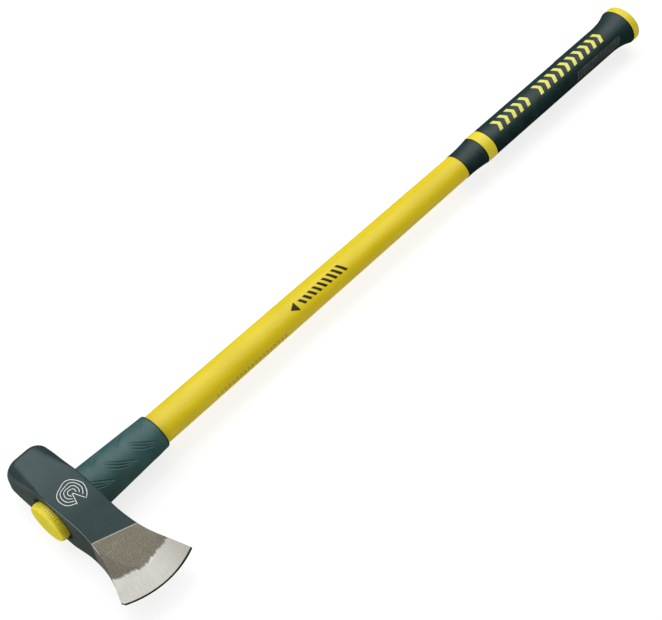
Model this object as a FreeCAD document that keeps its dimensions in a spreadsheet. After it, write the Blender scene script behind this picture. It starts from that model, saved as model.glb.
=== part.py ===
import FreeCAD, Part
import math
import os
import Sketcher

# Splitting maul: a forged wedge head on a jacketed fibreglass handle.
# Millimetres. +X runs from the poll to the cutting edge, +Y from the head to
# the butt, +Z is up. The tool lies on one cheek, and the origin is on the
# ground under the middle of the eye.

V = FreeCAD.Vector

doc = FreeCAD.newDocument("SplittingMaul")

# ---------------------------------------------------------------- dimensions
# "at" is a place along the piece's own length, "wide" is along the head (X),
# "high" is along the handle (Y), and "thick" is across the cheeks (Z).
DIMENSIONS = {
    # head, station by station from the poll to past the cutting edge
    "poll_at": -73.5, "poll_high": 50.6, "poll_thick": 47, "poll_corner": 18,
    "nape_at": -27, "nape_high": 45.3, "nape_thick": 54.7, "nape_corner": 6.6,
    "ear_at": -21, "ear_high": 44.6, "ear_thick": 55.7, "ear_corner": 4.6,
    "block_back": -15, "block_front": 18, "block_high": 44.4, "block_thick": 56, "block_corner": 2.6,
    "brow_at": 22, "brow_high": 44.3, "brow_thick": 55.7, "brow_corner": 2.6,
    "brim_at": 28, "brim_high": 43.7, "brim_thick": 54, "brim_corner": 2.5,
    "neck_at": 42, "neck_high": 42.2, "neck_thick": 47.6, "neck_corner": 2.2,
    "grind_at": 60, "grind_high": 44, "grind_thick": 39.4, "grind_corner": 2,
    "bit_at": 80, "bit_high": 50.8, "bit_thick": 30.4, "bit_corner": 1.8,
    "flare_at": 100, "flare_high": 64.6, "flare_thick": 21.2, "flare_corner": 1.6,
    "toe_at": 120, "toe_high": 82.4, "toe_thick": 12, "toe_corner": 1.2,
    "tip_at": 138, "tip_high": 96, "tip_thick": 4, "tip_corner": 0.8,
    "poll_round": 12,
    "edge_at": 134, "edge_radius": 95, "edge_shift": 6, "edge_thick": 2.4,
    "bevel_slope": 0.3, "bevel_reach": 55, "bevel_sweep": 100, "tool_clear": 30,
    # blunted corner of the blade: a line that meets the edge and the flank
    "blunt_edge_at": 128, "blunt_edge_side": -37, "blunt_flank_at": 113, "blunt_flank_side": -42.4,
    "blunt_clear_at": 125, "blunt_clear_side": -52,
    # eye: an oval hole along the handle, wider where the button closes it
    "eye_cap_at": -30, "eye_cap_wide": 43, "eye_cap_thick": 35.4,
    "eye_neck_at": 30, "eye_neck_wide": 40, "eye_neck_thick": 32.4,
    "fill_half": 16,
    # oval button over the end of the eye
    "button_wide": 47.4, "button_thick": 39, "button_shift": -1.2, "button_deep": 9.5, "button_round": 3,
    # fibreglass core
    "core_wide": 27.2, "core_thick": 20, "core_end": 852,
    # nylon jacket: tapered along the shaft, then stepped down under the grip
    "shaft_wide": 38.6, "shaft_thick": 29.8, "shaft_end_wide": 33.8, "shaft_end_thick": 26.2,
    "tang_wide": 30.4, "tang_thick": 23.2,
    # rubber collar that guards the handle when a blow overshoots
    "collar_wide": 51.4, "collar_thick": 42, "collar_end": 112.5,
    "collar_end_wide": 42.8, "collar_end_thick": 35, "collar_round": 1.5,
    # grip: cuff, band, then a sleeve that flares at the butt
    "cuff_at": 574, "cuff_wide": 34.4, "cuff_thick": 27,
    "swell_at": 590, "swell_wide": 35, "swell_thick": 27.7,
    "band_at": 606, "band_wide": 38.8, "band_thick": 31.4, "band_round": 0.8,
    "sleeve_at": 620.5, "sleeve_wide": 38.2, "sleeve_thick": 31,
    "trumpet_at": 829, "trumpet_lead": 5, "horn_at": 850, "horn_wide": 41.8, "horn_thick": 34.6,
    "butt_at": 862.5, "butt_wide": 49, "butt_thick": 42, "butt_deep": 11.3, "butt_round": 3.2,
    # chevrons let into the top of the grip, in two rows
    "mark_at": 637, "mark_aside": 1.5, "mark_pitch": 12, "mark_wide": 16, "mark_stroke": 5,
    "mark_sweep": 4.2, "mark_deep": 1.2,
}
POLL_STATIONS = ["nape", "ear"]
BLADE_STATIONS = ["brow", "brim", "neck", "grind", "bit", "flare", "toe", "tip"]
ROUNDING_ANGLES = [0, 22, 45, 68, 90]
MARKS_IN_FIRST_ROW = 5
MARKS_IN_SECOND_ROW = 10

sheet = doc.addObject("Spreadsheet::Sheet", "Dims")
for row, (alias, number) in enumerate(DIMENSIONS.items(), start=1):
    sheet.set("A%d" % row, alias)
    sheet.set("B%d" % row, str(number))
    sheet.setAlias("B%d" % row, alias)
doc.recompute()


# ------------------------------------------------------------------- helpers
def size(alias):
    """Number in the cell with this alias."""
    return float(sheet.get(alias))


def worth(thing, expression):
    """What an expression comes to, as a plain number."""
    return float(thing.evalExpression(expression))


def new_body(name):
    """Body whose origin is on the handle's axis, under which the tool rests on a cheek."""
    body = doc.addObject("PartDesign::Body", name)
    body.setExpression(".Placement.Base.z", "Dims.block_thick / 2")
    return body


def new_sketch(body, name, plane_role, offset="0"):
    """Sketch on one of the body's own origin planes, moved along the plane's normal."""
    sketch = body.newObject("Sketcher::SketchObject", name)
    plane = [item for item in body.Origin.OriginFeatures if item.Role == plane_role][0]
    sketch.AttachmentSupport = [(plane, "")]
    sketch.MapMode = "FlatFace"
    sketch.setExpression(".AttachmentOffset.Base.z", offset)
    return sketch


def dimension(sketch, name, expression, kind, *geometry):
    """Add a named dimension to a sketch and bind it to the sheet."""
    sketch.addConstraint(Sketcher.Constraint(kind, *geometry, worth(sketch, expression)))
    sketch.renameConstraint(sketch.ConstraintCount - 1, name)
    sketch.setExpression("Constraints." + name, expression)


def draw_rounded_rectangle(sketch, wide, high, corner):
    """Rectangle about the sketch's origin, with four equal corner arcs."""
    radius = worth(sketch, corner)
    inner_x, inner_y = worth(sketch, wide) / 2 - radius, worth(sketch, high) / 2 - radius
    for number, (side_x, side_y) in enumerate([(1, 1), (-1, 1), (-1, -1), (1, -1)]):
        circle = Part.Circle(V(side_x * inner_x, side_y * inner_y, 0), V(0, 0, 1), radius)
        start = number * math.pi / 2
        sketch.addGeometry(Part.ArcOfCircle(circle, start, start + math.pi / 2), False)
    for number in range(4):
        here, after = sketch.Geometry[number], sketch.Geometry[(number + 1) % 4]
        sketch.addGeometry(Part.LineSegment(here.EndPoint, after.StartPoint), False)
    for number in range(4):
        side = number + 4
        sketch.addConstraint(Sketcher.Constraint("Tangent", number, 2, side, 1))
        sketch.addConstraint(Sketcher.Constraint("Tangent", side, 2, (number + 1) % 4, 1))
    for number in (1, 2, 3):
        sketch.addConstraint(Sketcher.Constraint("Equal", 0, number))
    sketch.addConstraint(Sketcher.Constraint("Horizontal", 4))
    sketch.addConstraint(Sketcher.Constraint("Symmetric", 0, 3, 2, 3, -1, 1))
    dimension(sketch, "Wide", wide, "DistanceX", 5, 1, 7, 1)
    dimension(sketch, "High", high, "DistanceY", 6, 1, 4, 1)
    dimension(sketch, "Corner", corner, "Radius", 0)


def draw_oval(sketch, wide, high):
    """Ellipse about the sketch's origin, longer along the sketch's X."""
    ellipse = Part.Ellipse(V(0, 0, 0), worth(sketch, wide) / 2, worth(sketch, high) / 2)
    sketch.addGeometry(ellipse, False)
    sketch.exposeInternalGeometry(0)
    sketch.addConstraint(Sketcher.Constraint("Coincident", 0, 3, -1, 1))
    sketch.addConstraint(Sketcher.Constraint("Horizontal", 1))
    dimension(sketch, "Wide", wide, "Distance", 1)
    dimension(sketch, "High", high, "Distance", 2)


def draw_polygon(sketch, corners):
    """Closed outline through corners, each a pair of expressions."""
    first = len(sketch.Geometry)
    count = len(corners)
    points = [V(worth(sketch, across), worth(sketch, up), 0) for across, up in corners]
    for number in range(count):
        side = Part.LineSegment(points[number], points[(number + 1) % count])
        sketch.addGeometry(side, False)
    for number in range(count):
        after = first + (number + 1) % count
        sketch.addConstraint(Sketcher.Constraint("Coincident", first + number, 2, after, 1))
    for number, (across, up) in enumerate(corners, start=first):
        dimension(sketch, "Across%d" % number, across, "DistanceX", -1, 1, number, 1)
        dimension(sketch, "Up%d" % number, up, "DistanceY", -1, 1, number, 1)


def loft_through(body, name, outlines, ruled):
    """Add a solid loft through finished sketches to a body."""
    doc.recompute()
    loft = body.newObject("PartDesign::AdditiveLoft", name)
    loft.Profile = outlines[0]
    loft.Sections = outlines[1:]
    loft.Ruled = ruled
    return loft


def add_ovals(body, name, stations, ruled=True):
    """Add to a body a loft through ovals, each (at, wide, thick) expressions."""
    outlines = []
    for number, (at, wide, thick) in enumerate(stations, start=1):
        outline = new_sketch(body, "%s_oval_%d" % (name, number), "XZ_Plane", "-(%s)" % at)
        draw_oval(outline, wide, thick)
        outlines.append(outline)
    loft_through(body, name + "_loft", outlines, ruled)


def oval_body(name, stations, ruled=True):
    """Body lofted through ovals round the handle's axis."""
    body = new_body(name)
    add_ovals(body, name, stations, ruled)
    return body


def oval_bar(name, start, finish, wide, thick):
    """Body of one oval section from start to finish along the handle."""
    body = new_body(name)
    outline = new_sketch(body, name + "_oval", "XZ_Plane", "-(%s)" % start)
    draw_oval(outline, wide, thick)
    pad = body.newObject("PartDesign::Pad", name + "_pad")
    pad.Profile = outline
    pad.Reversed = True
    pad.setExpression("Length", "%s - (%s)" % (finish, start))
    return body


def add_rim(body, name, oval, direction, radius):
    """Round the end of a body off, from an oval on, towards +1 or -1 along the handle."""
    at, wide, thick = oval
    steps = []
    for angle in ROUNDING_ANGLES:
        inset = "2 * %s * (1 - cos(%d deg))" % (radius, angle)
        reach = "%s + %d * %s * sin(%d deg)" % (at, direction, radius, angle)
        steps.append([reach, "%s - %s" % (wide, inset), "%s - %s" % (thick, inset)])
    add_ovals(body, name, steps, ruled=False)


def slab(name, start, finish):
    """Box that holds all of the tool between two planes across the handle."""
    box = doc.addObject("Part::Box", name)
    box.setExpression("Length", "4 * Dims.block_thick")
    box.setExpression("Width", "%s - (%s)" % (finish, start))
    box.setExpression("Height", "4 * Dims.block_thick")
    box.setExpression(".Placement.Base.x", "-2 * Dims.block_thick")
    box.setExpression(".Placement.Base.y", start)
    box.setExpression(".Placement.Base.z", "-1.5 * Dims.block_thick")
    return box


def combine(kind, name, base, tool):
    """Part::Cut, Part::Common or Part::Fuse of two objects."""
    result = doc.addObject("Part::" + kind, name)
    result.Base = base
    result.Tool = tool
    return result


pieces = {}


def finish_piece(node, thing):
    """Give a finished piece the label that names its node and its file."""
    thing.Label = node
    pieces[node] = thing


# ---------------------------------------------------------------- head block
# Rounded rectangles along X: a loft for the tapered poll, a pad for the
# straight block round the eye, and a loft for the flaring blade. One groove,
# turned about the centre of the edge's arc, cuts the edge and its bevel, and a
# pocket blunts the corner of the blade that is farther from the handle.
head = new_body("head_block")


def head_station(station):
    """Expressions for a station's place, high, thick and corner."""
    return ["Dims.%s_%s" % (station, measure) for measure in ("at", "high", "thick", "corner")]


def head_outline(name, station):
    """Sketch of a rounded rectangle across the head."""
    at, high, thick, corner = station
    outline = new_sketch(head, name, "YZ_Plane", at)
    draw_rounded_rectangle(outline, high, thick, corner)
    return outline


def head_loft(name, stations, ruled):
    """Add a loft through rounded rectangles across the head."""
    outlines = []
    for number, station in enumerate(stations, start=1):
        outlines.append(head_outline("%s_outline_%d" % (name, number), station))
    loft_through(head, name, outlines, ruled)


# The edge of the striking face is a quarter round, followed in steps of angle.
crown = []
for angle in reversed(ROUNDING_ANGLES):
    inset = "Dims.poll_round * (1 - cos(%d deg))" % angle
    crown.append(["Dims.poll_at + Dims.poll_round * (1 - sin(%d deg))" % angle,
                  "Dims.poll_high - 2 * " + inset, "Dims.poll_thick - 2 * " + inset,
                  "Dims.poll_corner - " + inset])
section = ["Dims.block_high", "Dims.block_thick", "Dims.block_corner"]
back, front = ["Dims.block_back", *section], ["Dims.block_front", *section]
head_loft("crown", crown, ruled=False)
head_loft("poll", [crown[-1], *map(head_station, POLL_STATIONS), back], ruled=False)
eye_block = head.newObject("PartDesign::Pad", "eye_block")
eye_block.Profile = head_outline("eye_block_outline", back)
eye_block.setExpression("Length", "Dims.block_front - Dims.block_back")
head_loft("blade", [front, *map(head_station, BLADE_STATIONS)], ruled=False)

grinding = new_sketch(head, "grinding_profile", "XZ_Plane", "-Dims.edge_shift")
edge, face = "Dims.edge_at", "Dims.edge_thick / 2"
inner = "Dims.edge_at - Dims.bevel_reach"
rise = "(Dims.edge_thick / 2 + Dims.bevel_slope * Dims.bevel_reach)"
outer, clear = "Dims.edge_at + Dims.tool_clear", "Dims.block_thick"
draw_polygon(grinding, [(edge, "-" + face), (edge, face), (inner, rise), (inner, clear),
                        (outer, clear), (outer, "-" + clear), (inner, "-" + clear),
                        (inner, "-" + rise)])
turning = "Dims.edge_at - Dims.edge_radius"
spindle = Part.LineSegment(V(worth(grinding, turning), 0, 0), V(worth(grinding, turning), 10, 0))
spindle_number = grinding.addGeometry(spindle, True)
grinding.addConstraint(Sketcher.Constraint("Vertical", spindle_number))
dimension(grinding, "Spindle", turning, "DistanceX", -1, 1, spindle_number, 1)
doc.recompute()
volume_before_grinding = head.Shape.Volume
grind = head.newObject("PartDesign::Groove", "grind")
grind.Profile = grinding
grind.ReferenceAxis = (grinding, ["Axis0"])
grind.Midplane = True
grind.setExpression("Angle", "Dims.bevel_sweep")
doc.recompute()
volume_before_blunting = head.Shape.Volume
if volume_before_blunting > volume_before_grinding - 1000:
    raise RuntimeError("the grinding groove did not cut the blade")

corner = new_sketch(head, "blunt_corner", "XY_Plane")
draw_polygon(corner, [("Dims.blunt_%s_at" % place, "Dims.blunt_%s_side" % place)
                      for place in ("edge", "flank", "clear")])
doc.recompute()
blunting = head.newObject("PartDesign::Pocket", "blunting")
blunting.Profile = corner
blunting.Midplane = True
blunting.setExpression("Length", "2 * Dims.block_thick")
doc.recompute()
if not 5 < volume_before_blunting - head.Shape.Volume < 200:
    raise RuntimeError("the corner of the blade was not blunted")

# ----------------------------------------------------------- eye and handle
flank = "(Dims.block_high / 2)"
eye_void = oval_body("eye_void", [("Dims.eye_cap_at", "Dims.eye_cap_wide", "Dims.eye_cap_thick"),
                                  ("Dims.eye_neck_at", "Dims.eye_neck_wide", "Dims.eye_neck_thick")])
core = oval_bar("core", "-Dims.fill_half", "Dims.core_end", "Dims.core_wide", "Dims.core_thick")
shaft = oval_body("shaft", [(flank, "Dims.shaft_wide", "Dims.shaft_thick"),
                            ("Dims.cuff_at", "Dims.shaft_end_wide", "Dims.shaft_end_thick")])
tang = oval_bar("tang", "Dims.cuff_at", "Dims.core_end", "Dims.tang_wide", "Dims.tang_thick")

finish_piece("head_forging", combine("Cut", "head_with_eye", head, eye_void))
finish_piece("fibreglass_core", core)
finish_piece("shaft_jacket", combine("Cut", "jacket", combine("Fuse", "jacket_blank", shaft, tang), core))

# The eye is filled in three layers: the button's spigot, the resin that grips
# the core, and a rubber ring that held the resin in while it set.
fill_slab = slab("fill_slab", "-Dims.fill_half", "Dims.fill_half")
fill_plug = combine("Common", "fill_plug", eye_void, fill_slab)
finish_piece("epoxy_fill", combine("Cut", "fill", fill_plug, core))
ring_slab = slab("ring_slab", "Dims.fill_half", flank)
ring_plug = combine("Common", "ring_plug", eye_void, ring_slab)
finish_piece("resin_dam", combine("Cut", "ring", ring_plug, core))

button_oval = ["Dims.button_wide", "Dims.button_thick"]
button_rim = "(-%s - Dims.button_deep + Dims.button_round)" % flank
button = oval_bar("button", button_rim, "-" + flank, *button_oval)
add_rim(button, "button_rim", [button_rim, *button_oval], -1, "Dims.button_round")
button.setExpression(".Placement.Base.x", "Dims.button_shift")
spigot_slab = slab("spigot_slab", "-(%s)" % flank, "-Dims.fill_half")
spigot = combine("Common", "spigot", eye_void, spigot_slab)
seated_button = combine("Cut", "seated_button", button, head)
finish_piece("eye_cap", combine("Fuse", "button_and_spigot", seated_button, spigot))

collar_rim = ["Dims.collar_end - Dims.collar_round", "Dims.collar_end_wide", "Dims.collar_end_thick"]
collar = oval_body("collar", [[flank, "Dims.collar_wide", "Dims.collar_thick"], collar_rim])
add_rim(collar, "collar_rim", collar_rim, 1, "Dims.collar_round")
seated_collar = combine("Cut", "seated_collar", collar, head)
finish_piece("overstrike_collar", combine("Cut", "bored_collar", seated_collar, shaft))

# --------------------------------------------------------------------- grip
cuff = oval_body("cuff", [("Dims.cuff_at", "Dims.cuff_wide", "Dims.cuff_thick"),
                          ("Dims.swell_at", "Dims.swell_wide", "Dims.swell_thick"),
                          ("Dims.band_at", "Dims.sleeve_wide", "Dims.sleeve_thick")], ruled=False)
finish_piece("grip_front_cuff", combine("Cut", "bored_cuff", cuff, tang))

band_oval = ["Dims.band_wide", "Dims.band_thick"]
band_front = ["Dims.band_at + Dims.band_round", *band_oval]
band_rear = ["Dims.sleeve_at - Dims.band_round", *band_oval]
band = oval_bar("band", band_front[0], band_rear[0], *band_oval)
add_rim(band, "band_front", band_front, -1, "Dims.band_round")
add_rim(band, "band_rear", band_rear, 1, "Dims.band_round")
finish_piece("grip_band", combine("Cut", "bored_band", band, tang))

sleeve_oval = ["Dims.sleeve_wide", "Dims.sleeve_thick"]
straight = oval_bar("straight", "Dims.sleeve_at", "Dims.trumpet_at", *sleeve_oval)
trumpet = oval_body("trumpet", [["Dims.trumpet_at", *sleeve_oval],
                                ["Dims.trumpet_at + Dims.trumpet_lead", *sleeve_oval],
                                ["Dims.horn_at", "Dims.horn_wide", "Dims.horn_thick"],
                                ["Dims.butt_at", "Dims.butt_wide", "Dims.butt_thick"]], ruled=False)
sleeve_blank = combine("Fuse", "sleeve_blank", straight, trumpet)
bored_sleeve = combine("Cut", "bored_sleeve", sleeve_blank, tang)

# Each mark is two slanted strokes that meet at the top of the grip, kept only
# where they pass through the sleeve's outer skin.
under_skin = ["Dims.sleeve_%s - 2 * Dims.mark_deep" % measure for measure in ("wide", "thick")]
inside = oval_bar("inside", "Dims.sleeve_at", "Dims.trumpet_at", *under_skin)
skin = combine("Cut", "skin", straight, inside)


def stroke(name, start, side):
    """Slanted stroke of a chevron, from the top of the grip down to one side."""
    wedge = doc.addObject("Part::Wedge", name)
    slides = {"": "Dims.mark_sweep", "2": "0"}
    for end, slide in slides.items():
        wedge.setExpression("X%smin" % end, slide)
        wedge.setExpression("X%smax" % end, slide + " + Dims.mark_stroke")
        wedge.setExpression("Z%smin" % end, "0")
        wedge.setExpression("Z%smax" % end, "Dims.block_thick")
    wedge.setExpression("Ymin", "0")
    wedge.setExpression("Ymax", "Dims.mark_wide / 2")
    # The wedge's own X runs along the handle and its Y out to the side.
    spin = FreeCAD.Rotation(V(0, 0, 1), 90)
    flip = FreeCAD.Rotation(V(0, 1, 0), 180)
    wedge.Placement = FreeCAD.Placement(V(0, 0, 0), spin if side < 0 else flip.multiply(spin))
    wedge.setExpression(".Placement.Base.x", "Dims.mark_aside")
    wedge.setExpression(".Placement.Base.y", start)
    level = "Dims.block_thick / 2" if side < 0 else "1.5 * Dims.block_thick"
    wedge.setExpression(".Placement.Base.z", level)
    return wedge


def chevron(number, start):
    """Chevron that points to the butt, cut out of the sleeve's skin."""
    left = stroke("left_stroke_%02d" % number, start, -1)
    right = stroke("right_stroke_%02d" % number, start, 1)
    whole = combine("Fuse", "chevron_%02d" % number, left, right)
    return combine("Common", "mark_%02d" % number, skin, whole)


marks = []
places = list(range(MARKS_IN_FIRST_ROW + 1 + MARKS_IN_SECOND_ROW))
places.remove(MARKS_IN_FIRST_ROW)
for number, place in enumerate(places, start=1):
    mark = chevron(number, "Dims.mark_at + %d * Dims.mark_pitch" % place)
    finish_piece("grip_mark_%02d" % number, mark)
    marks.append(mark)
all_marks = doc.addObject("Part::Compound", "all_marks")
all_marks.Links = marks
finish_piece("grip_sleeve", combine("Cut", "sleeve_with_windows", bored_sleeve, all_marks))

butt_oval = ["Dims.butt_wide", "Dims.butt_thick"]
butt_rim = "(Dims.butt_at + Dims.butt_deep - Dims.butt_round)"
butt = oval_bar("butt", "Dims.butt_at", butt_rim, *butt_oval)
add_rim(butt, "butt_rim", [butt_rim, *butt_oval], 1, "Dims.butt_round")
plug = oval_bar("plug", "Dims.core_end", "Dims.butt_at", "Dims.tang_wide", "Dims.tang_thick")
finish_piece("butt_cap", combine("Fuse", "butt_and_plug", butt, plug))

# ------------------------------------------------------------ check and write
doc.recompute()
failed = [item.Name for item in doc.Objects if "Invalid" in item.State or "Error" in item.State]
if failed:
    raise RuntimeError("these objects failed: " + ", ".join(failed))
os.makedirs("parts", exist_ok=True)
for node, piece in sorted(pieces.items()):
    shape = piece.Shape
    if shape.isNull() or not shape.isValid() or len(shape.Solids) != 1:
        raise RuntimeError("%s is not one valid solid" % node)
    shape.exportStep(os.path.join("parts", node + ".step"))
    print("%-18s %9.1f mm3" % (node, shape.Volume))
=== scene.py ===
import math

import bmesh
import bpy
import numpy as np
from mathutils import Matrix, Vector
from mathutils.bvhtree import BVHTree


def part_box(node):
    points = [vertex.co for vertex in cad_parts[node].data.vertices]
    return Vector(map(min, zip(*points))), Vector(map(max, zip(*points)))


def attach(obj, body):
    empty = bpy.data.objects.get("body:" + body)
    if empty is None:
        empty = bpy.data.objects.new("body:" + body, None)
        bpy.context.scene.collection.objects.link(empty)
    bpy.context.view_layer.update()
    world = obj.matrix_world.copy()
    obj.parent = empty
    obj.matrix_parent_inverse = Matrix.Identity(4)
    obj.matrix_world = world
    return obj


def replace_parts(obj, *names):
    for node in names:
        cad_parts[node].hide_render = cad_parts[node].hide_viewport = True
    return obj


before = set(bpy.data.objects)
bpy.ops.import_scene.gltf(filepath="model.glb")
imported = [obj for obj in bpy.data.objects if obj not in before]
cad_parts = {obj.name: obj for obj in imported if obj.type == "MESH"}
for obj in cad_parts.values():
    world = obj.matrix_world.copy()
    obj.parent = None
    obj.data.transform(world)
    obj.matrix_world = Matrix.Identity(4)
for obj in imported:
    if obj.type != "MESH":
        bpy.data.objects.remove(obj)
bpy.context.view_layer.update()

# Looks of a splitting maul that lies on one cheek. Metres, in the CAD frame:
# +X from the poll to the cutting edge, +Y from the head to the butt, +Z up.

MM = 0.001

# ------------------------------------------------------- places in the frame
HEAD_LOW, HEAD_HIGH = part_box("head_forging")
COLLAR_LOW, COLLAR_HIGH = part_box("overstrike_collar")
SHAFT_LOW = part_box("shaft_jacket")[0]
CUFF_LOW, CUFF_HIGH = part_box("grip_front_cuff")
BUTTON_LOW, BUTTON_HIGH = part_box("eye_cap")
SLEEVE_LOW, SLEEVE_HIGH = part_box("grip_sleeve")
BUTT_LOW, BUTT_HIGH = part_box("butt_cap")
AXIS_Z = (HEAD_LOW.z + HEAD_HIGH.z) / 2
BUTTON_X = (BUTTON_LOW.x + BUTTON_HIGH.x) / 2
BUTTON_HALF_WIDE = (BUTTON_HIGH.x - BUTTON_LOW.x) / 2
BUTTON_HALF_THICK = (BUTTON_HIGH.z - BUTTON_LOW.z) / 2


def oval_at(node, y):
    """Half width and half thickness of a handle node's outline where it crosses y."""
    corners = np.array([v.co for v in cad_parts[node].data.vertices])
    near = corners[np.abs(corners[:, 1] - y) < 0.3 * MM]
    return np.abs(near[:, 0]).max(), np.abs(near[:, 2] - AXIS_Z).max()


class Oval:
    """Outer surface of a handle piece: an oval that tapers from one place to another."""

    def __init__(self, node, start, finish, finish_like=None):
        self.node = node
        self.places = (start, finish)
        ends = (oval_at(node, start), oval_at(node, finish if finish_like is None else finish_like))
        self.wide, self.thick = zip(*ends)
        slope = sum(self.thick) / sum(self.wide)
        self.turns = np.linspace(-math.pi / 2, math.pi / 2, 721)
        speed = np.hypot(np.cos(self.turns), slope * np.sin(self.turns))
        arcs = np.cumsum(speed) * (self.turns[1] - self.turns[0])
        self.arcs = arcs - np.interp(0, self.turns, arcs)

    def halves(self, along):
        """Half width and half thickness at places along the handle."""
        return np.interp(along, self.places, self.wide), np.interp(along, self.places, self.thick)

    def point(self, angle, along, lift):
        """Points at an angle from +X towards +Z, lifted off the surface."""
        wide, thick = self.halves(along)
        normal = np.stack([np.cos(angle) / wide, 0 * along, np.sin(angle) / thick], -1)
        normal /= np.linalg.norm(normal, axis=-1, keepdims=True)
        on = np.stack([wide * np.cos(angle), along, AXIS_Z + thick * np.sin(angle)], -1)
        return on + np.asarray(lift)[..., None] * normal

    def rolled(self, across, along, lift):
        """Points an arc away from the top line, towards +X, snapped to the node's own mesh."""
        turn = np.interp(across / self.halves(along)[0], self.arcs, self.turns)
        on = self.point(math.pi / 2 - turn, along, np.zeros(len(across)))
        out = self.point(math.pi / 2 - turn, along, np.ones(len(across))) - on
        return on_node(self.node, on + 10 * MM * out, -out, lift)

    def seen_from_above(self, across, along, lift):
        """Points over places in plan, lifted off the surface."""
        return self.point(np.arccos(across / self.halves(along)[0]), along, lift)


trees = {}


def on_node(node, origins, directions, lift):
    """Where rays first meet a CAD node, lifted off along its normal."""
    if node not in trees:
        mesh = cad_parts[node].data
        corners = [v.co for v in mesh.vertices]
        trees[node] = BVHTree.FromPolygons(corners, [tuple(face.vertices) for face in mesh.polygons])
    points = []
    for origin, direction, rise in zip(origins, directions, lift):
        hit, normal, _, _ = trees[node].ray_cast(Vector(origin), Vector(direction))
        points.append(hit + normal * rise)
    return np.array(points)


def on_upper_cheek(across, along, lift):
    """Points on the head's upper cheek over places in plan."""
    above = np.full(len(across), HEAD_HIGH.z + 10 * MM)
    down = np.tile((0.0, 0.0, -1.0), (len(across), 1))
    return on_node("head_forging", np.stack([across, along, above], -1), down, lift)


# ------------------------------------------------------------------ materials
class Graph:
    """Short-hand for building the node tree of one material."""

    def __init__(self, name, **constants):
        self.material = bpy.data.materials.new(name)
        self.material.use_nodes = True
        self.tree = self.material.node_tree
        self.shader = self.tree.nodes["Principled BSDF"]
        for socket, value in constants.items():
            self.shader.inputs[socket.replace("_", " ")].default_value = value

    def node(self, kind, inputs, **settings):
        """New node. Each input is a number, a colour or another node's output."""
        node = self.tree.nodes.new("ShaderNode" + kind)
        for name, value in settings.items():
            setattr(node, name, value)
        for key, value in inputs.items():
            if isinstance(value, bpy.types.NodeSocket):
                self.tree.links.new(value, node.inputs[key])
            else:
                node.inputs[key].default_value = value
        return node

    def place(self):
        """Position on the object, in millimetres."""
        where = self.node("TexCoord", {}).outputs["Object"]
        return self.node("VectorMath", {0: where, "Scale": 1 / MM}, operation="SCALE").outputs[0]

    def split(self, vector):
        """The three parts of a vector."""
        return self.node("SeparateXYZ", {0: vector}).outputs

    def maths(self, operation, *values):
        """One step of arithmetic."""
        return self.node("Math", dict(enumerate(values)), operation=operation).outputs[0]

    def step(self, value, low, high, start=0.0, end=1.0):
        """Soft step from start at low to end at high."""
        limits = {"Value": value, "From Min": low, "From Max": high, "To Min": start, "To Max": end}
        return self.node("MapRange", limits, interpolation_type="SMOOTHSTEP").outputs[0]

    def stretch(self, vector, *scale):
        """A position scaled by its own factor along each axis."""
        return self.node("VectorMath", {0: vector, 1: scale}, operation="MULTIPLY").outputs[0]

    def noise(self, vector, scale, detail=2.0, roughness=0.5):
        """Soft noise from 0 to 1, with scale in cycles per millimetre."""
        inputs = {"Vector": vector, "Scale": scale, "Detail": detail, "Roughness": roughness}
        return self.node("TexNoise", inputs).outputs["Fac"]

    def mix(self, factor, first, second):
        """Colour that goes from first to second."""
        first = (*first, 1) if isinstance(first, tuple) else first
        second = (*second, 1) if isinstance(second, tuple) else second
        node = self.node("Mix", {0: factor, 6: first, 7: second}, data_type="RGBA")
        return node.outputs[2]

    def bump(self, height, depth, under=None):
        """Bump of a depth in metres, on top of another bump."""
        inputs = {"Height": height, "Distance": depth, "Strength": 1.0}
        if under is not None:
            inputs["Normal"] = under
        return self.node("Bump", inputs).outputs[0]

    def finish(self, **links):
        """Links the shader's sockets and gives the material."""
        for socket, output in links.items():
            self.tree.links.new(output, self.shader.inputs[socket.replace("_", " ")])
        return self.material


# Where the cheeks are ground bare: a slanted line where the paint stops, and
# the arc about which the edge is ground. All in millimetres.
GRIND_AT, GRIND_SLANT = 67.0, 0.318
ARC_X, ARC_Y = HEAD_HIGH.x / MM - 95.0, 6.0
BRIGHT_RADIUS, EDGE_RADIUS = 75.5, 94.3
EYE_AT = 0.0

# Colours of the head. A pair is the low and the high end of a cloudy colour.
PAINT = (0.022, 0.045, 0.046), (0.030, 0.056, 0.057)
POLL_SHEEN_PAINT = (0.043, 0.069, 0.070), (0.057, 0.085, 0.086)
SPECKED_PAINT = (0.11, 0.14, 0.145)
RIDGE_HIGHLIGHT_PAINT = (0.17, 0.26, 0.27)
FLANK_REFLECTION_PAINT = (0.066, 0.076, 0.064)
CORNER_SHADE_PAINT = (0.010, 0.020, 0.023)
SHADED_PAINT = (0.006, 0.010, 0.010)
DULL_STEEL = (0.134, 0.118, 0.085), (0.294, 0.266, 0.206)
MOTTLED_STEEL = (0.19, 0.18, 0.155)
SCORED_STEEL = (0.5, 0.47, 0.42)
BRIGHT_STEEL = (0.62, 0.605, 0.55), (0.76, 0.745, 0.69)
SHADED_STEEL = (0.39, 0.37, 0.33)
HIGHLIGHT_AND_LIP_STEEL = (0.84, 0.82, 0.78)
EDGE_SHADE_STEEL = (0.012, 0.012, 0.012)
FLANK_STEEL = (0.118, 0.111, 0.097), (0.180, 0.169, 0.148)


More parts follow.
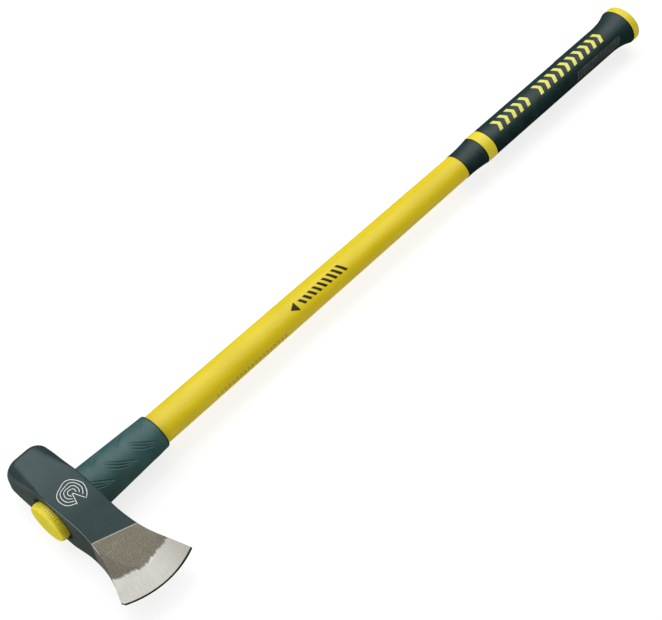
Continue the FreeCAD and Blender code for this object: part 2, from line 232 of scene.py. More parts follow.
def head_material():
    """Satin enamel over a forging, with the cheeks ground bare behind the edge."""
    g = Graph("enamel_and_ground_steel", IOR=1.5, Specular_IOR_Level=0.2)
    place = g.place()
    x, y, z = g.split(place)

    # cheeks face up or down, and a ridge runs between cheek and flank towards the blade
    facing = g.maths("ABSOLUTE", g.split(g.node("TexCoord", {}).outputs["Normal"])[2])
    cheek = g.step(facing, 0.62, 0.8)
    ridge = g.maths("MULTIPLY", g.step(facing, 0.40, 0.58), g.step(facing, 0.86, 0.72))
    ridge = g.maths("MULTIPLY", ridge, g.step(x, EYE_AT - 14, EYE_AT + 4))

    # past a slanted line the cheek is ground bare, with a light lip along the line
    past_line = g.maths("SUBTRACT", x, g.maths("MULTIPLY_ADD", y, GRIND_SLANT, GRIND_AT))
    bare = g.step(past_line, 0.0, 0.35)
    ground = g.maths("MULTIPLY", bare, cheek)
    lip = g.maths("MULTIPLY", g.step(past_line, -0.1, 0.2), g.step(past_line, 1.0, 0.5))

    # round the arc: a bright zone with a ragged start, then the dark band of the edge, which is painted
    # shade
    across = g.maths("POWER", g.maths("SUBTRACT", x, ARC_X), 2.0)
    along = g.maths("POWER", g.maths("SUBTRACT", y, ARC_Y), 2.0)
    radius = g.maths("SQRT", g.maths("ADD", across, along))
    teeth = g.noise(g.stretch(place, 0.15, 1.0, 0.2), 0.32, 3.0, 0.75)
    sway = g.noise(place, 0.06, 1.0)
    ragged = g.maths("MULTIPLY_ADD", teeth, 7.0, g.maths("MULTIPLY", sway, 4.0))
    past_band = g.maths("SUBTRACT", g.maths("ADD", radius, ragged), BRIGHT_RADIUS)
    bright = g.step(past_band, -1.3, 1.8)
    # the edge's dark band is painted shade, made wider towards the handle
    widening = g.step(y, 0.0, 48.0, 0.0, 0.7)
    past_edge = g.maths("SUBTRACT", g.maths("ADD", radius, widening), EDGE_RADIUS)
    edge = g.maths("MULTIPLY", g.step(past_edge, 0.0, 0.35), g.step(x, ARC_X, ARC_X + 1))

    # paint: cloudy, lighter towards the poll as a painted sheen, specked, and with a painted highlight along
    # the far ridge
    cloud = g.noise(place, 0.05, 3.0, 0.6)
    paint = g.mix(g.step(cloud, 0.3, 0.7), *PAINT)
    poll_sheen = g.mix(g.step(cloud, 0.3, 0.7), *POLL_SHEEN_PAINT)
    # painted sheen: the paint turns lighter towards the poll
    paint = g.mix(g.step(x, 22, -52), paint, poll_sheen)
    speck = g.noise(place, 1.3, 2.0, 0.7)
    paint = g.mix(g.step(speck, 0.64, 0.78, 0.0, 0.3), paint, SPECKED_PAINT)
    # painted highlight along the ridge, on the far side of the head only
    ridge_highlight = g.maths("MULTIPLY", ridge, g.step(y, 0.0, -6.0, 0.0, 0.7))
    paint = g.mix(ridge_highlight, paint, RIDGE_HIGHLIGHT_PAINT)

    # steel: dull, mottled and scored, then bright and lined with painted shade towards the handle, with a
    # painted highlight along the ridge, a light lip along the paint line, and the edge's dark band of
    # painted shade
    grain = g.noise(place, 0.7, 4.0, 0.8)
    mottle = g.noise(place, 0.12, 2.0)
    dull = g.mix(g.step(grain, 0.3, 0.7), *DULL_STEEL)
    dull = g.mix(g.step(mottle, 0.35, 0.7, 0.0, 0.35), dull, MOTTLED_STEEL)
    scores = g.noise(g.stretch(place, 1.0, 0.06, 0.3), 0.8, 2.0, 0.6)
    dull = g.mix(g.step(scores, 0.60, 0.72, 0.0, 0.28), dull, SCORED_STEEL)
    lines = g.noise(g.stretch(place, 0.05, 1.0, 0.3), 1.6, 3.0, 0.7)
    shine = g.mix(g.step(lines, 0.25, 0.75), *BRIGHT_STEEL)
    shine = g.mix(g.step(y, -5.0, 50.0, 0.0, 0.9), shine, SHADED_STEEL)
    steel = g.mix(bright, dull, shine)
    # painted highlight along the ridge, and the light lip along the paint line
    outline = g.maths("MAXIMUM", g.maths("MULTIPLY", lip, 0.55), ridge)
    steel = g.mix(outline, steel, HIGHLIGHT_AND_LIP_STEEL)
    steel = g.mix(edge, steel, EDGE_SHADE_STEEL)

    # paint again: greyer on the flanks as a painted reflection, darker on the poll's rounded corners as
    # painted shade, worn beside the blade
    # painted reflection: the flanks are greyer
    paint = g.mix(g.step(facing, 0.55, 0.3, 0.0, 0.6), paint, FLANK_REFLECTION_PAINT)
    # painted shade on the poll's rounded corners
    rounded = g.maths("MULTIPLY", g.step(facing, 0.97, 0.88), g.step(facing, 0.5, 0.68))
    rounded = g.maths("MULTIPLY", rounded, g.step(x, EYE_AT - 12, EYE_AT - 26, 0.0, 0.6))
    paint = g.mix(rounded, paint, CORNER_SHADE_PAINT)
    flank = g.mix(g.step(grain, 0.3, 0.7), *FLANK_STEEL)
    paint = g.mix(g.step(past_line, -2.0, 3.0), paint, flank)

    # the head is shaded in a ring round the button
    aside = g.maths("DIVIDE", g.maths("SUBTRACT", x, BUTTON_X / MM), BUTTON_HALF_WIDE / MM)
    above = g.maths("DIVIDE", g.maths("SUBTRACT", z, AXIS_Z / MM), BUTTON_HALF_THICK / MM)
    squares = g.maths("ADD", g.maths("POWER", aside, 2.0), g.maths("POWER", above, 2.0))
    from_button = g.maths("SQRT", squares)
    shaded = g.maths("MULTIPLY", g.step(from_button, 1.26, 1.08, 0.0, 0.9), g.step(y, -15.0, -19.0))
    paint = g.mix(shaded, paint, SHADED_PAINT)

    # steel shows where it is ground, on the bare part of the ridge and at the edge, whose dark band is
    # painted shade
    bare_ridge = g.maths("MULTIPLY", g.maths("MULTIPLY", bare, ridge), 0.85)
    shown = g.maths("MAXIMUM", ground, bare_ridge)
    colour = g.mix(g.maths("MAXIMUM", shown, edge), paint, steel)

    # bare steel is metallic and rougher than the paint, and smoother where it is bright
    metal = g.maths("MULTIPLY", shown, g.step(edge, 0.0, 1.0, 0.7, 0.0))
    satin = g.step(cloud, 0.25, 0.75, 0.42, 0.54)
    scuffed = g.step(grain, 0.3, 0.7, 0.5, 0.66)
    brushed = g.maths("MULTIPLY_ADD", bright, -0.1, scuffed)
    rough = g.node("Mix", {0: shown, 2: satin, 3: brushed}, data_type="FLOAT").outputs[0]

    # a forging's swell, the paint's orange peel, and the scratches of the grinding
    swell = g.bump(g.noise(place, 0.035, 2.0), 0.5 * MM)
    peel = g.bump(g.noise(place, 0.7, 3.0, 0.6), 0.035 * MM, swell)
    scratch = g.bump(g.maths("MULTIPLY", lines, shown), 0.02 * MM, peel)
    return g.finish(Base_Color=colour, Metallic=metal, Roughness=rough, Normal=scratch)


def plastic_material(name, low, high, roughness):
    """Moulded plastic with faint clouding and a fine moulded texture."""
    g = Graph(name, IOR=1.49, Specular_IOR_Level=0.45)
    place = g.place()
    flow = g.noise(g.stretch(place, 1.0, 0.25, 1.0), 0.05, 3.0, 0.6)
    speck = g.noise(place, 0.9, 3.0, 0.65)
    colour = g.mix(g.step(flow, 0.3, 0.7), low, high)
    dust = tuple(0.82 * part for part in low)
    colour = g.mix(g.step(speck, 0.66, 0.85, 0.0, 0.5), colour, dust)
    rough = g.step(speck, 0.25, 0.75, roughness - 0.05, roughness + 0.06)
    wave = g.bump(flow, 0.25 * MM)
    pores = g.bump(g.noise(place, 1.6, 2.0, 0.6), 0.03 * MM, wave)
    return g.finish(Base_Color=colour, Roughness=rough, Normal=pores)


def rubber_material(name, low, high, roughness, gloss, seams=()):
    """Thermoplastic rubber with a fine matt skin, with painted shade where it meets other pieces along the
    handle.
    """
    g = Graph(name, IOR=1.47, Specular_IOR_Level=gloss)
    place = g.place()
    cloud = g.noise(place, 0.06, 3.0, 0.6)
    skin = g.noise(place, 2.2, 2.0, 0.7)
    colour = g.mix(g.step(cloud, 0.3, 0.7), low, high)
    colour = g.mix(g.step(skin, 0.6, 0.8, 0.0, 0.4), colour, tuple(1.5 * part for part in high))
    for seam, reach in seams:
        off = g.maths("ABSOLUTE", g.maths("SUBTRACT", g.split(place)[1], seam / MM))
        # painted shade along each seam, where the pieces meet
        seam_shade = g.step(off, reach, reach - 0.7, 0.0, 0.9)
        colour = g.mix(seam_shade, colour, tuple(0.12 * part for part in low))
    rough = g.step(skin, 0.3, 0.7, roughness - 0.05, roughness + 0.07)
    wave = g.bump(cloud, 0.2 * MM)
    matt = g.bump(skin, 0.04 * MM, wave)
    return g.finish(Base_Color=colour, Roughness=rough, Normal=matt)


def ink_material(name, low, high):
    """Printed ink, worn a little thin in places."""
    g = Graph(name, IOR=1.45, Specular_IOR_Level=0.15)
    place = g.place()
    wear = g.noise(place, 0.8, 3.0, 0.7)
    colour = g.mix(g.step(wear, 0.35, 0.75), low, high)
    rough = g.step(wear, 0.3, 0.7, 0.45, 0.6)
    return g.finish(Base_Color=colour, Roughness=rough)


def fibre_material():
    """Pultruded glass fibre: resin with strands along the handle."""
    g = Graph("pultruded_glass_fibre", IOR=1.52)
    place = g.place()
    strands = g.noise(g.stretch(place, 1.0, 0.02, 1.0), 1.8, 3.0, 0.7)
    colour = g.mix(g.step(strands, 0.3, 0.7), (0.38, 0.33, 0.17), (0.62, 0.57, 0.38))
    return g.finish(Base_Color=colour, Roughness=g.step(strands, 0.3, 0.7, 0.35, 0.55),
                    Normal=g.bump(strands, 0.05 * MM))


yellow = plastic_material("yellow_nylon", (0.700, 0.540, 0.002), (0.765, 0.595, 0.006), 0.42)
bright_yellow = plastic_material("moulded_yellow", (0.72, 0.600, 0.018), (0.79, 0.665, 0.030), 0.42)
pale_yellow = plastic_material("yellow_inlay", (0.72, 0.70, 0.13), (0.80, 0.77, 0.18), 0.5)
GRIP_SEAMS = [CUFF_LOW.y, CUFF_HIGH.y, SLEEVE_LOW.y, SLEEVE_HIGH.y]
collar_green = rubber_material("teal_rubber", (0.024, 0.084, 0.083), (0.033, 0.101, 0.099), 0.48, 0.5,
                               seams=[(COLLAR_HIGH.y, 2.1)])
grip_green = rubber_material("dark_green_rubber", (0.0025, 0.0200, 0.0185), (0.0060, 0.0290, 0.0270),
                             0.48, 0.55, seams=[(place, 1.6) for place in GRIP_SEAMS])
rib_green = rubber_material("scuffed_green_rubber", (0.058, 0.066, 0.062), (0.100, 0.106, 0.100), 0.5, 0.6)
worn_yellow = plastic_material("worn_yellow_nylon", (0.42, 0.32, 0.010), (0.52, 0.41, 0.018), 0.5)
amber = plastic_material("cast_epoxy", (0.42, 0.28, 0.08), (0.55, 0.38, 0.13), 0.25)
black_rubber = rubber_material("black_rubber", (0.018, 0.018, 0.018), (0.026, 0.026, 0.026), 0.6, 0.4)
black_ink = ink_material("black_ink", (0.030, 0.022, 0.003), (0.052, 0.042, 0.006))
white_ink = ink_material("white_ink", (0.84, 0.85, 0.84), (0.70, 0.72, 0.72))

CAD_MATERIALS = {
    "head_forging": head_material(), "eye_cap": bright_yellow, "epoxy_fill": amber,
    "resin_dam": black_rubber, "fibreglass_core": fibre_material(), "shaft_jacket": yellow,
    "overstrike_collar": collar_green, "grip_front_cuff": grip_green, "grip_band": bright_yellow,
    "grip_sleeve": grip_green, "butt_cap": bright_yellow,
}
for node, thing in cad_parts.items():
    material = CAD_MATERIALS.get(node, pale_yellow)
    for slot in thing.material_slots:
        slot.material = material


# --------------------------------------------------------------- added pieces
def add_piece(name, points, faces, material, crease=35):
    """New smooth-shaded mesh that rides with the tool."""
    mesh = bpy.data.meshes.new(name)
    mesh.from_pydata([tuple(point) for point in points], [], faces)
    work = bmesh.new()
    work.from_mesh(mesh)
    bmesh.ops.recalc_face_normals(work, faces=work.faces)
    work.to_mesh(mesh)
    work.free()
    mesh.shade_smooth()
    mesh.set_sharp_from_angle(angle=math.radians(crease))
    mesh.materials.append(material)
    piece = bpy.data.objects.new(name, mesh)
    bpy.context.scene.collection.objects.link(piece)
    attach(piece, "root")
    return piece


class Relief:
    """Low raised bands laid on a surface and gathered into one piece."""

    def __init__(self, surface, lift, sink, bevel):
        self.surface = surface
        self.low, self.brim, self.top = -sink, lift - bevel, lift
        self.bevel = bevel
        self.points, self.faces = [], []

    def band(self, centres, sides, closed=False):
        """Band through centres, each with its half-width vector, both (across, along)."""
        centres, sides = np.array(centres, float), np.array(sides, float)
        tops = np.full(len(centres), self.top)
        if not closed:
            centres, sides, tops = self.with_bevelled_ends(centres, sides)
        inner = sides * (1 - self.bevel / np.linalg.norm(sides, axis=1, keepdims=True))
        low, brim = np.full(len(centres), self.low), np.full(len(centres), self.brim)
        profile = [(-sides, low), (-sides, brim), (-inner, tops), (inner, tops), (sides, brim), (sides, low)]
        first = len(self.points)
        rings = [self.surface(*(centres + offset).T, lift) for offset, lift in profile]
        self.points.extend(np.stack(rings, 1).reshape(-1, 3))
        count, turn = len(centres), len(profile)
        for here in range(count if closed else count - 1):
            after = (here + 1) % count
            for corner in range(turn):
                beside = (corner + 1) % turn
                self.faces.append((first + here * turn + corner, first + here * turn + beside,
                                   first + after * turn + beside, first + after * turn + corner))
        if not closed:
            self.faces.append(tuple(first + corner for corner in range(turn)))
            self.faces.append(tuple(first + (count - 1) * turn + corner for corner in range(turn)))

    def with_bevelled_ends(self, centres, sides):
        """The same band with a station one bevel in from each end."""
        def inset(end, beside):
            step = centres[beside] - centres[end]
            return centres[end] + step * self.bevel / np.linalg.norm(step)

        centres = np.vstack([centres[:1], [inset(0, 1)], centres[1:-1], [inset(-1, -2)], centres[-1:]])
        sides = np.vstack([sides[:1], sides[:1], sides[1:-1], sides[-1:], sides[-1:]])
        tops = np.full(len(centres), self.top)
        tops[[0, -1]] = self.brim
        return centres, sides, tops

    def curve(self, points, half_width, closed=False):
        """Band of even width through points."""
        points = np.array(points, float)
        if closed:
            ahead = np.roll(points, -1, axis=0) - np.roll(points, 1, axis=0)
        else:
            ahead = np.gradient(points, axis=0)
        ahead /= np.linalg.norm(ahead, axis=1, keepdims=True)
        self.band(points, half_width * np.stack([-ahead[:, 1], ahead[:, 0]], 1), closed)

    def piece(self, name, material, slot):
        """The gathered bands as one piece."""
        return add_piece(name, self.points, self.faces, material)


# -- over-strike collar: sweeping strokes pressed in two rows, like fern fronds
COLLAR_ROUND = 1.5 * MM
collar = Oval("overstrike_collar", COLLAR_LOW.y, COLLAR_HIGH.y - COLLAR_ROUND)
shaft = Oval("shaft_jacket", SHAFT_LOW.y, CUFF_LOW.y)
FROND_PITCH = 31 * MM
GROOVE_DEEP, GROOVE_HALF_WIDTH = 0.8 * MM, 0.65 * MM
RIDGE_HIGH, RIDGE_HALF_WIDTH, RIDGE_ASIDE = 0.45 * MM, 0.75 * MM, 1.4 * MM
STROKE_DEPTHS = [1.0, 0.85, 0.65]
STROKE_ASIDE, STROKE_AHEAD = 3.8 * MM, 2.0 * MM
STROKE_SAG, STROKE_SAG_STEP = 2.2 * MM, 1.0 * MM
RIGHT_BASE, RIGHT_TIP = (-1 * MM, -5 * MM), (21 * MM, 24 * MM)
LEFT_BASE, LEFT_TIP = (0.5 * MM, -4 * MM), (-19 * MM, 23 * MM)
FADE_AT_HEAD, FADE_AT_END = 5 * MM, 6 * MM


def stroke(across, along, base, tip, sag, depth):
    """Height of one curved stroke, a groove beside a ridge, over places on the unrolled collar."""
    chord = tip - base
    length = np.linalg.norm(chord)
    ahead = chord / length
    aside = np.array([ahead[1], -ahead[0]]) * np.sign(ahead[0])
    radius = (length ** 2 / 4 + sag ** 2) / (2 * sag)
    centre = (base + tip) / 2 + aside * (sag - radius)
    from_centre = np.stack([across, along], -1) - centre
    off = np.linalg.norm(from_centre, axis=-1) - radius
    swing = np.arctan2(from_centre @ ahead, from_centre @ aside)
    place = np.clip(swing / math.asin(length / 2 / radius), -1, 1)
    groove = GROOVE_DEEP * np.exp(-(off / GROOVE_HALF_WIDTH) ** 2)
    ridge = RIDGE_HIGH * np.exp(-((off - RIDGE_ASIDE) / RIDGE_HALF_WIDTH) ** 2)
    return depth * (1 - place ** 2) ** 0.8 * (ridge - groove)


def frond(across, along, base, tip):
    """Height of three strokes that fan out from one tip."""
    base, tip = np.array(base), np.array(tip)
    ahead = (tip - base) / np.linalg.norm(tip - base)
    aside = np.array([ahead[1], -ahead[0]]) * np.sign(ahead[0])
    height = np.zeros_like(across)
    for number, depth in enumerate(STROKE_DEPTHS):
        start = base + number * (STROKE_ASIDE * aside + STROKE_AHEAD * ahead)
        sag = STROKE_SAG + STROKE_SAG_STEP * number
        height += stroke(across, along, start, tip, sag, depth)
    return height


def collar_relief(across, along):
    """Height of the pressed pattern over the unrolled collar."""
    height = np.zeros_like(across)
    for number in range(-1, 4):
        right = COLLAR_LOW.y + number * FROND_PITCH - 2 * MM
        left = right + 0.6 * FROND_PITCH
        for at, base, tip in ((right, RIGHT_BASE, RIGHT_TIP), (left, LEFT_BASE, LEFT_TIP)):
            height += frond(across, along, (base[0], at + base[1]), (tip[0], at + tip[1]))
    near_head = np.clip((along - COLLAR_LOW.y) / FADE_AT_HEAD, 0, 1)
    near_end = np.clip((COLLAR_HIGH.y - FADE_AT_END - along) / FADE_AT_END, 0, 1)
    return height * near_head * near_end


def build_collar():
    """Collar with pressed fronds above and below, a round end and a thin gap at the jacket."""
    around, rows = 320, 190
    angle = np.linspace(0, 2 * math.pi, around, endpoint=False)
    rings = []
    turn = math.pi / 2 - angle
    turn = np.where(np.sin(angle) < 0, math.pi / 2 + angle, turn)
    turn = np.arctan2(np.sin(turn), np.cos(turn))
    for along in np.linspace(COLLAR_LOW.y, COLLAR_HIGH.y - COLLAR_ROUND, rows):
        here = np.full(around, along)
        across = np.interp(turn, collar.turns, collar.arcs) * collar.halves(along)[0]
        rings.append(collar.point(angle, here, collar_relief(across, here)))
    for step in np.radians([15, 30, 45, 60, 75, 90]):
        here = np.full(around, COLLAR_HIGH.y - COLLAR_ROUND * (1 - math.sin(step)))
        rings.append(collar.point(angle, here, np.full(around, -COLLAR_ROUND * (1 - math.cos(step)))))
    gap, gap_end = 0.4 * MM, COLLAR_HIGH.y - 3 * MM
    inner = [(COLLAR_HIGH.y, gap), (gap_end, gap), (gap_end, 0), (COLLAR_LOW.y, 0)]
    for along, lift in inner:
        rings.append(shaft.point(angle, np.full(around, along), np.full(around, lift)))
    faces = []
    for ring in range(len(rings)):
        after = (ring + 1) % len(rings)
        for here in range(around):
            beside = (here + 1) % around
            faces.append((ring * around + here, ring * around + beside,
                          after * around + beside, after * around + here))
    piece = add_piece("pressed_collar", np.concatenate(rings), faces, collar_green, 50)
    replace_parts(piece, "overstrike_collar")


build_collar()

# -- button: fine ribs round its rim, for the fingers
RIM_RADIUS = (BUTTON_HALF_WIDE + BUTTON_HALF_THICK) / 2
RIM_RIBS = 56
RIM_FROM, RIM_TO, RIM_HALF_WIDTH = BUTTON_LOW.y + 3.2 * MM, BUTTON_LOW.y + 8.6 * MM, 0.5 * MM
RIM_LIFT, RIM_SINK, RIM_BEVEL = 0.5 * MM, 0.3 * MM, 0.25 * MM


def on_button_rim(across, along, lift):
    """Points round the button's rim, by arc and place along the handle."""
    angle = across / RIM_RADIUS
    normal = np.stack([np.cos(angle) / BUTTON_HALF_WIDE, 0 * angle, np.sin(angle) / BUTTON_HALF_THICK], -1)
    normal /= np.linalg.norm(normal, axis=-1, keepdims=True)
    on = np.stack([BUTTON_X + BUTTON_HALF_WIDE * np.cos(angle), along,
                   AXIS_Z + BUTTON_HALF_THICK * np.sin(angle)], -1)
    return on + np.asarray(lift)[..., None] * normal


def build_button_ribs():
    """Ribs across the button's rim, from the head to its rounded edge."""
    ribs = Relief(on_button_rim, RIM_LIFT, RIM_SINK, RIM_BEVEL)
    along = np.linspace(RIM_FROM, RIM_TO, 3)
    for angle in np.linspace(0, 2 * math.pi, RIM_RIBS, endpoint=False):
        ribs.curve(np.stack([np.full(3, angle * RIM_RADIUS), along], 1), RIM_HALF_WIDTH)
    ribs.piece("button_rim_ribs", bright_yellow, "yellow_plastic")


build_button_ribs()

# -- grip: raised chevrons in their windows, and fine slanted ribs down both flanks
sleeve = Oval("grip_sleeve", SLEEVE_LOW.y, SLEEVE_HIGH.y, finish_like=SLEEVE_LOW.y)
MARK_SWEEP, MARK_STROKE = 4.2 * MM, 5.0 * MM
MARK_LIFT, MARK_SINK, MARK_BEVEL = 0.4 * MM, 1.0 * MM, 0.35 * MM
MARK_SPREAD = 0.05 * MM


def build_marks():
    """Chevrons that stand a little proud of the grip."""
    for node in sorted(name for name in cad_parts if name.startswith("grip_mark_")):
        low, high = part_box(node)
        middle, half = (low.x + high.x) / 2, (high.x - low.x) / 2
        share = np.linspace(-1, 1, 17)
        across = middle + share * (half + MARK_SPREAD)
        along = low.y + MARK_SWEEP * (1 - np.abs(share)) + MARK_STROKE / 2
        side = np.tile((0.0, MARK_STROKE / 2 + MARK_SPREAD), (len(share), 1))
        mark = Relief(sleeve.seen_from_above, MARK_LIFT, MARK_SINK, MARK_BEVEL)
        mark.band(np.stack([across, along], 1), side)
        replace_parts(mark.piece("raised_" + node, pale_yellow, "mark_yellow"), node)


build_marks()

RIB_FROM, RIB_TO, RIB_PITCH = SLEEVE_LOW.y + 148 * MM, SLEEVE_LOW.y + 226 * MM, 2.9 * MM
RIB_TOP, RIB_SLANT, RIB_HALF_WIDTH = math.radians(36), 6 * MM, 0.5 * MM
RIB_LIFT, RIB_SINK, RIB_BEVEL = 0.45 * MM, 0.3 * MM, 0.25 * MM


def build_ribs(name, side):
    """Fine slanted ribs down one flank of the grip, +1 for the edge's side."""
    ribs = Relief(sleeve.rolled, RIB_LIFT, RIB_SINK, RIB_BEVEL)
    quarter = np.interp(math.pi / 2 - RIB_TOP, sleeve.turns, sleeve.arcs) * sleeve.wide[0]
    reach = np.interp(math.pi / 2, sleeve.turns, sleeve.arcs) * sleeve.wide[0]
    for start in np.arange(RIB_FROM, RIB_TO, RIB_PITCH):
        share = np.linspace(0, 1, 6)
        across = side * (quarter + (reach - quarter) * share)
        ribs.curve(np.stack([across, start - RIB_SLANT * share], 1), RIB_HALF_WIDTH)
    ribs.piece(name, rib_green, "grip_rubber")


build_ribs("grip_ribs_right", 1)
build_ribs("grip_ribs_left", -1)

# -- shaft: a printed wedge and a row of slanted bars, and small moulded arrows
INK_LIFT, INK_SINK, INK_BEVEL = 0.07 * MM, 0.15 * MM, 0.03 * MM
PRINT_FROM, PRINT_ASIDE = 303 * MM, 6.8 * MM
WEDGE_AT, WEDGE_HALF_WIDE = 8.8 * MM, 5.8 * MM
WEDGE_BLUNT, WEDGE_RISE = 0.3 * MM, 4.2 * MM
BARS, BAR_PITCH, BAR_HALF_WIDTH, BAR_LEAN = 9, 7.4 * MM, 1.9 * MM, 2.6 * MM
BARS_FROM = 17 * MM
BAR_REACH, BAR_REACH_STEP = 4.0 * MM, 0.22 * MM
ARROWS_FROM, ARROWS_TO, ARROW_PITCH = 182 * MM, 282 * MM, 5.5 * MM
ARROW_ASIDE, ARROW_SPREAD = 24 * MM, 2.0 * MM
ARROW_LONG, ARROW_HALF_WIDTH = 2.6 * MM, 0.45 * MM
ARROW_LIFT, ARROW_SINK, ARROW_BEVEL = 0.4 * MM, 0.3 * MM, 0.2 * MM
EMBLEM_AT, EMBLEM_RADIUS, EMBLEM_RINGS = (8 * MM, 1.5 * MM), 14.5 * MM, 4
EMBLEM_HALF_WIDTH, EMBLEM_SPLIT = 0.37 * MM, 0.34


def split_log(relief, middle, radius, rings, half_width, gap):
    """Rings of a log's end grain, open at one side, with the two edges of the split."""
    middle = np.array(middle)
    for number in range(rings):
        size = radius * (1 - 0.24 * number)
        turn = np.linspace(gap + 0.22 * number, 2 * math.pi - gap - 0.12 * number, 48)
        wobble = 1 + 0.05 * np.sin(3 * turn + 0.7 * number) + 0.03 * np.sin(5 * turn + number)
        round_points = np.stack([np.cos(turn), np.sin(turn)], 1) * (size * wobble)[:, None]
        relief.curve(middle + round_points, half_width)
    for side in (-1, 1):
        outer = np.array([math.cos(gap), side * math.sin(gap)]) * radius
        elbow = np.array([0.45 * radius, side * 0.16 * radius])
        tip = np.array([0.06 * radius, side * 0.02 * radius])
        steps = [outer + (elbow - outer) * share for share in np.linspace(0, 1, 6)]
        steps += [elbow + (tip - elbow) * share for share in np.linspace(0.2, 1, 5)]
        relief.curve(middle + np.array(steps), half_width)


def build_print():
    """Dark print on the shaft."""
    ink = Relief(shaft.rolled, INK_LIFT, INK_SINK, INK_BEVEL)
    share = np.linspace(-1, 1, 9)
    point = WEDGE_BLUNT + WEDGE_RISE * (1 - np.abs(share))
    middles = np.stack([PRINT_ASIDE + WEDGE_HALF_WIDE * share, PRINT_FROM + WEDGE_AT - point], 1)
    ink.band(middles, np.stack([0 * point, point], 1))
    for number in range(BARS):
        start = PRINT_FROM + BARS_FROM + number * BAR_PITCH
        half = BAR_REACH + BAR_REACH_STEP * number
        along = start + BAR_LEAN * share * half / (5 * MM)
        side = np.tile((0.0, BAR_HALF_WIDTH), (len(share), 1))
        ink.band(np.stack([PRINT_ASIDE + half * share, along], 1), side)
    ink.piece("shaft_print", black_ink, "yellow_plastic")


def build_arrows():
    """Small arrows moulded into the flank of the shaft."""
    arrows = Relief(shaft.rolled, ARROW_LIFT, ARROW_SINK, ARROW_BEVEL)
    share = np.linspace(0, 1, 4)[:, None]
    for along in np.arange(ARROWS_FROM, ARROWS_TO, ARROW_PITCH):
        for way in (-1, 1):
            tip = np.array([ARROW_ASIDE, along + ARROW_LONG])
            tail = np.array([ARROW_ASIDE + ARROW_SPREAD * way, along])
            arrows.curve(tip + (tail - tip) * share, ARROW_HALF_WIDTH)
    arrows.piece("moulded_arrows", worn_yellow, "yellow_plastic")


def build_emblem():
    """White end grain of a split log on the upper cheek."""
    ink = Relief(on_upper_cheek, INK_LIFT, INK_SINK, INK_BEVEL)
    split_log(ink, EMBLEM_AT, EMBLEM_RADIUS, EMBLEM_RINGS, EMBLEM_HALF_WIDTH, EMBLEM_SPLIT)
    ink.piece("cheek_emblem", white_ink, "head_paint")


build_print()
build_arrows()
build_emblem()

# ---------------------------------------------------------------------- stage
CAMERA_AT, CAMERA_TARGET = Vector((0.87229, -0.36666, 1.39276)), Vector((0.03008, 0.33714, 0.028))
CAMERA_ROLL, LENS = math.radians(49) - 0.0086, 90.98
FLOOR_GAP = 0.2 * MM


def add_camera():
    """Camera at the photograph's place, rolled so that the handle runs up to the right."""
    data = bpy.data.cameras.new("camera")
    data.lens = LENS
    data.sensor_fit = "HORIZONTAL"
    data.clip_end = 50
    camera = bpy.data.objects.new("camera", data)
    back = (CAMERA_AT - CAMERA_TARGET).normalized()
    side = Vector((0, 1, 0)).cross(back).normalized()
    level = Matrix((side, back.cross(side), back)).transposed()
    camera.matrix_world = (Matrix.Translation(CAMERA_AT) @ level.to_4x4()
                           @ Matrix.Rotation(CAMERA_ROLL, 4, "Z"))
    bpy.context.scene.collection.objects.link(camera)
    bpy.context.scene.camera = camera


def add_light(name, at, target, wide, high, power, colour=(1, 1, 1), mirrored=True):
    """Soft box that faces a target. One that isn't mirrored gives no highlights."""
    data = bpy.data.lights.new(name, "AREA")
    data.shape = "RECTANGLE"
    data.size, data.size_y = wide, high
    data.energy = power
    data.color = colour
    light = bpy.data.objects.new(name, data)
    turn = (Vector(at) - Vector(target)).to_track_quat("Z", "Y")
    light.matrix_world = Matrix.Translation(at) @ turn.to_matrix().to_4x4()
    light.visible_glossy = mirrored
    bpy.context.scene.collection.objects.link(light)


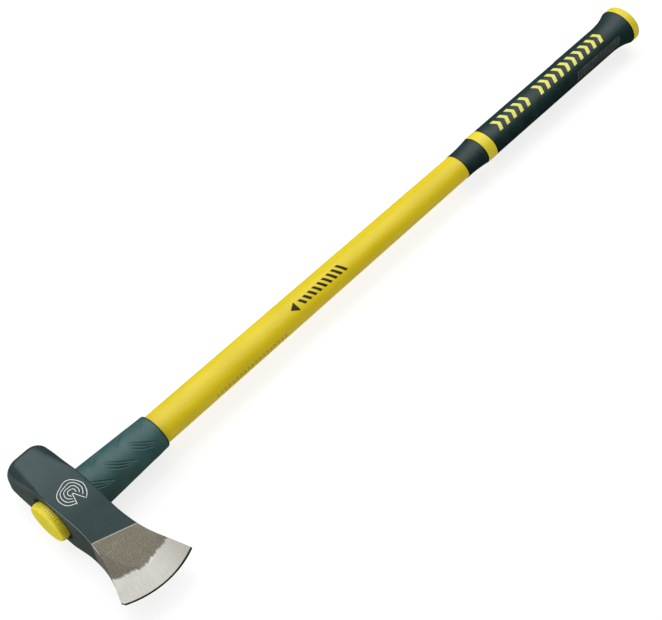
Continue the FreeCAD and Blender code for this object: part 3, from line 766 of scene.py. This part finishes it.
def add_glowing(name, mesh, paint, glow):
    """Stage object that is partly lit from behind, like a light table, and never mirrored."""
    g = Graph(name, Base_Color=(paint, paint, paint, 1), Roughness=0.9, Specular_IOR_Level=0.0,
              Emission_Color=(1, 1, 1, 1), Emission_Strength=glow)
    mesh.materials.append(g.material)
    thing = bpy.data.objects.new(name, mesh)
    thing.visible_glossy = False
    bpy.context.scene.collection.objects.link(thing)
    return thing


def add_floor(half, paint, glow):
    """Plain pale floor, just under the tool."""
    level = HEAD_LOW.z - FLOOR_GAP
    mesh = bpy.data.meshes.new("floor")
    corners = [(-half, -half, level), (half, -half, level), (half, half, level), (-half, half, level)]
    mesh.from_pydata(corners, [], [(0, 1, 2, 3)])
    add_glowing("floor", mesh, paint, glow)


def add_backdrop(radius, glow):
    """Pale dome behind everything, which only the camera sees."""
    work = bmesh.new()
    bmesh.ops.create_uvsphere(work, u_segments=48, v_segments=24, radius=radius)
    mesh = bpy.data.meshes.new("backdrop")
    work.to_mesh(mesh)
    work.free()
    dome = add_glowing("backdrop", mesh, 0.0, glow)
    dome.visible_diffuse = False
    dome.visible_shadow = False


def add_world(strength):
    """Even white surroundings."""
    world = bpy.data.worlds.new("studio")
    world.use_nodes = True
    world.node_tree.nodes["Background"].inputs["Color"].default_value = (1, 1, 1, 1)
    world.node_tree.nodes["Background"].inputs["Strength"].default_value = strength
    world.cycles_visibility.glossy = False
    bpy.context.scene.world = world


add_camera()
add_floor(half=11.0, paint=0.26, glow=0.80)
add_backdrop(radius=12.0, glow=0.85)
add_world(strength=0.12)
MIDDLE = (0.0, 0.4, 0.03)
add_light("key", (-1.3, 0.2, 1.9), MIDDLE, wide=1.8, high=2.4, power=43, colour=(0.96, 0.98, 1.0))
add_light("top", (0.1, 1.0, 2.2), MIDDLE, wide=1.6, high=1.6, power=10)
add_light("front", (0.1, -1.9, 0.7), MIDDLE, wide=1.4, high=0.8, power=21)
add_light("warm side", (1.9, 0.5, 0.5), MIDDLE, wide=1.6, high=0.8, power=3.5,
          colour=(1.0, 0.80, 0.45), mirrored=False)
add_light("far side", (-0.5, 1.9, 1.6), (0.0, 0.75, 0.03), wide=2.0, high=1.2, power=16)
bpy.context.scene.view_settings.view_transform = "Standard"
